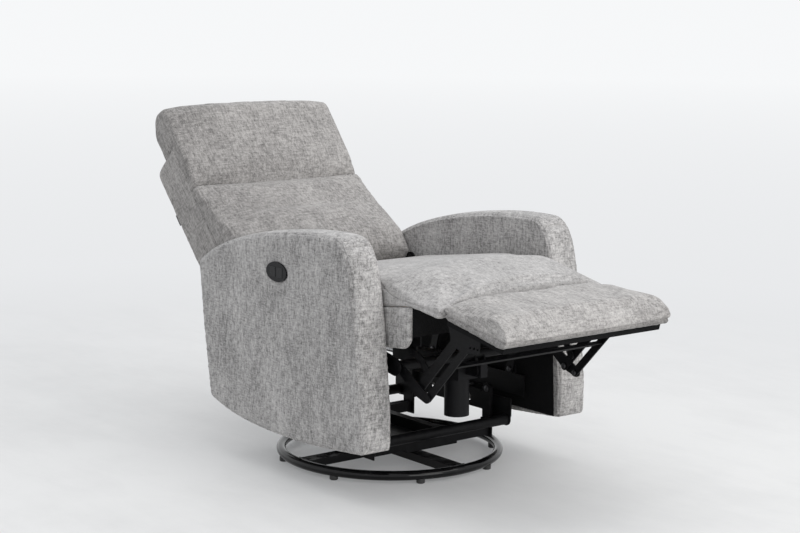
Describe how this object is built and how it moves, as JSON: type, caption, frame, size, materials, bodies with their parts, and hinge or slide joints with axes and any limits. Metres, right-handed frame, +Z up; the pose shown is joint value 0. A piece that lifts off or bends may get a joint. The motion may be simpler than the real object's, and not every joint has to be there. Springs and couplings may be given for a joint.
{
  "type": "swivel glider recliner",
  "caption": "Upholstered power recliner that swivels and glides on a round tube ring, with a folding footrest, a reclining back and curved arms.",
  "frame": {"origin": "on the floor, on the swivel axis", "axes": "+Z up, -Y towards the front of the chair, +X towards the sitter's left"},
  "size_m": [0.7433, 1.4805, 0.9035],
  "materials": {
    "cloth": "matte",
    "black_cloth": "matte",
    "ring_gloss": "gloss",
    "steel_black": "satin",
    "bare_steel": "satin",
    "hub_plastic": "matte",
    "glide_plastic": "matte",
    "motor_plastic": "satin",
    "switch_plastic": "gloss",
    "frame_wood": "matte"
  },
  "bodies": {
    "base": {"base_ring": "ring_gloss", "base_spokes": "ring_gloss", "floor_glides": "glide_plastic", "hub_housing": "steel_black", "thrust_washer": "hub_plastic"},
    "swivel_base": {"swivel_post": "bare_steel", "swivel_frame": "steel_black", "stanchions": "steel_black", "hanging_pins": "steel_black"},
    "glide_front": {"glide_links_front": "steel_black"},
    "glide_rear": {"glide_links_rear": "steel_black"},
    "carriage": {"carriage_side_left": "steel_black", "carriage_side_right": "steel_black", "carriage_pins": "steel_black", "carriage_cross_tubes": "steel_black", "base_rail_left": "steel_black", "base_rail_right": "steel_black", "arm_brackets": "steel_black", "arm_left": "cloth", "arm_right": "cloth", "arm_liner_left": "black_cloth", "arm_liner_right": "black_cloth", "control_bezel": "switch_plastic"},
    "button_recline": {"button_recline": "switch_plastic"},
    "button_upright": {"button_upright": "switch_plastic"},
    "seat_link_front": {"seat_links_front": "steel_black"},
    "seat_link_rear": {"seat_links_rear": "steel_black"},
    "seat": {"seat_plate_left": "steel_black", "seat_plate_right": "steel_black", "seat_side_left": "cloth", "seat_side_right": "cloth", "seat_front_rail": "frame_wood", "seat_rear_rail": "frame_wood", "seat_springs": "steel_black", "seat_cushion": "cloth", "front_lining": "black_cloth", "control_hangers": "steel_black", "actuator_mount": "steel_black"},
    "foot_drive": {"torque_tube": "steel_black", "inner_links": "steel_black"},
    "foot_outer": {"outer_links": "steel_black"},
    "foot_parallel": {"parallel_links": "steel_black", "link_crossbar": "steel_black"},
    "foot_control": {"control_links": "steel_black"},
    "footrest": {"footrest_brackets": "steel_black", "footrest_board": "frame_wood", "footrest_pad": "cloth"},
    "back": {"back_frame": "frame_wood", "back_brackets": "steel_black", "back_shell": "cloth", "lumbar_cushion": "cloth", "head_cushion": "cloth", "side_tag": "black_cloth"},
    "actuator_rod": {"actuator_rod": "bare_steel"},
    "actuator": {"actuator_body": "motor_plastic", "actuator_motor": "motor_plastic"}
  },
  "joints": [
    {"name": "swivel", "type": "hinge", "parent": "base", "child": "swivel_base", "pos_m": [0, 0, 0.05], "axis": [0, 0, 1], "continuous": true},
    {"name": "glide", "type": "hinge", "parent": "swivel_base", "child": "glide_front", "pos_m": [0, -0.165, 0.184], "axis": [1, 0, 0], "range_deg": [-12, 12]},
    {"name": "glide_level", "type": "hinge", "parent": "glide_front", "child": "carriage", "pos_m": [0, -0.165, 0.112], "axis": [1, 0, 0], "range_deg": [-12.1, 12.1]},
    {"name": "glide_rear", "type": "hinge", "parent": "swivel_base", "child": "glide_rear", "pos_m": [0, 0.165, 0.184], "axis": [1, 0, 0], "range_deg": [-12.1, 12.1]},
    {"name": "press_recline", "type": "slide", "parent": "carriage", "child": "button_recline", "axis": [1, 0, 0], "range_m": [0, 0.0015], "stiffness_N_per_m": 300},
    {"name": "press_upright", "type": "slide", "parent": "carriage", "child": "button_upright", "axis": [1, 0, 0], "range_m": [0, 0.0015], "stiffness_N_per_m": 300},
    {"name": "recline", "type": "hinge", "parent": "carriage", "child": "seat_link_front", "pos_m": [0, -0.19, 0.235], "axis": [-1, 0, 0], "range_deg": [0, 55]},
    {"name": "seat_level", "type": "hinge", "parent": "seat_link_front", "child": "seat", "pos_m": [0, -0.22313, 0.35864], "axis": [-1, 0, 0], "range_deg": [-55.1, 0.1]},
    {"name": "seat_link_rear_turn", "type": "hinge", "parent": "carriage", "child": "seat_link_rear", "pos_m": [0, 0.13, 0.235], "axis": [-1, 0, 0], "range_deg": [-0.1, 55.1]},
    {"name": "back_turn", "type": "hinge", "parent": "seat", "child": "back", "pos_m": [0, 0.24, 0.478], "axis": [1, 0, 0], "range_deg": [-0.1, 33.1]},
    {"name": "footrest_fold", "type": "hinge", "parent": "seat", "child": "foot_drive", "pos_m": [0, -0.3464, 0.3344], "axis": [1, 0, 0], "range_deg": [0, 74]},
    {"name": "outer_turn", "type": "hinge", "parent": "foot_drive", "child": "foot_outer", "pos_m": [0, -0.415, 0.285], "axis": [1, 0, 0], "range_deg": [-80.8, 0.1]},
    {"name": "parallel_turn", "type": "hinge", "parent": "foot_drive", "child": "foot_parallel", "pos_m": [0, -0.453, 0.273], "axis": [1, 0, 0], "range_deg": [-80.8, 0.1]},
    {"name": "footrest_tilt", "type": "hinge", "parent": "foot_outer", "child": "footrest", "pos_m": [0, -0.55499, 0.43201], "axis": [1, 0, 0], "range_deg": [-0.1, 80.8]},
    {"name": "control_turn", "type": "hinge", "parent": "seat", "child": "foot_control", "pos_m": [0, -0.3759, 0.37574], "axis": [1, 0, 0], "range_deg": [-0.1, 70.2]},
    {"name": "actuator_swing", "type": "hinge", "parent": "seat", "child": "actuator_rod", "pos_m": [0, 0.12, 0.29], "axis": [1, 0, 0], "range_deg": [-2, 0.5]},
    {"name": "actuator_stroke", "type": "slide", "parent": "actuator_rod", "child": "actuator", "axis": [0, 0.9999, -0.0103], "range_m": [-0.001, 0.055]}
  ],
  "couplings": [
    {"joint": "glide_level", "follows": "glide", "ratio": -1},
    {"joint": "glide_rear", "follows": "glide", "ratio": 1},
    {"joint": "seat_level", "follows": "recline", "ratio": -1},
    {"joint": "seat_link_rear_turn", "follows": "recline", "ratio": 1},
    {"joint": "back_turn", "follows": "recline", "ratio": 0.6},
    {"joint": "outer_turn", "follows": "footrest_fold", "ratio": -1.0892},
    {"joint": "parallel_turn", "follows": "footrest_fold", "ratio": -1.0892},
    {"joint": "footrest_tilt", "follows": "footrest_fold", "ratio": 1.0892},
    {"joint": "control_turn", "follows": "footrest_fold", "ratio": 0.945},
    {"joint": "actuator_swing", "follows": "footrest_fold", "ratio": -0.016},
    {"joint": "actuator_stroke", "follows": "footrest_fold", "m_per_rad": 0.039}
  ]
}
